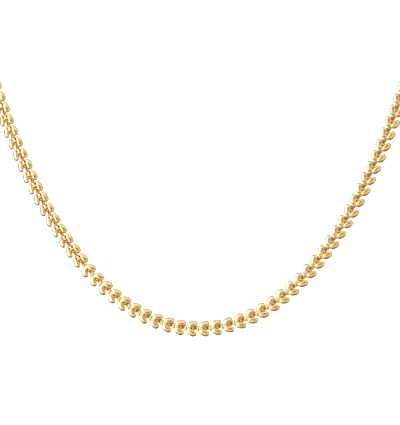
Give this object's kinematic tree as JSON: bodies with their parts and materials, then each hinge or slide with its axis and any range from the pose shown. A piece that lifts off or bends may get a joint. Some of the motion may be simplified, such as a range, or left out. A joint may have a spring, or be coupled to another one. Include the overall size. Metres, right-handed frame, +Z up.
{
  "type": "leaf chain necklace",
  "caption": "Closed neck chain of paired puffed leaf links, each hooked to the next by a slotted tab, hanging in a U from the nape, with a plain barrel clasp at the back.",
  "frame": {"origin": "where the loop rests on the nape, at the middle of the clasp", "axes": "+Z up, the front of the necklace faces -Y, +X to the right of someone who faces the front"},
  "size_m": [0.1472, 0.0928, 0.1165],
  "materials": {
    "leaf_gold": "stamped brass, plated and mirror-polished in warm yellow gold",
    "clasp_gold": "turned brass, plated in the same warm yellow gold"
  },
  "bodies": {
    "root": {"leaf_run_01": "leaf_gold", "leaf_run_02": "leaf_gold", "leaf_run_03": "leaf_gold", "leaf_run_04": "leaf_gold", "leaf_run_05": "leaf_gold", "leaf_run_06": "leaf_gold", "leaf_run_07": "leaf_gold", "leaf_run_08": "leaf_gold", "leaf_run_09": "leaf_gold", "leaf_run_10": "leaf_gold", "leaf_run_11": "leaf_gold", "leaf_run_12": "leaf_gold", "leaf_run_13": "leaf_gold", "leaf_run_14": "leaf_gold", "leaf_run_15": "leaf_gold", "leaf_run_16": "leaf_gold", "end_ring_left": "clasp_gold", "end_ring_right": "clasp_gold", "clasp": "clasp_gold"}
  },
  "joints": []
}
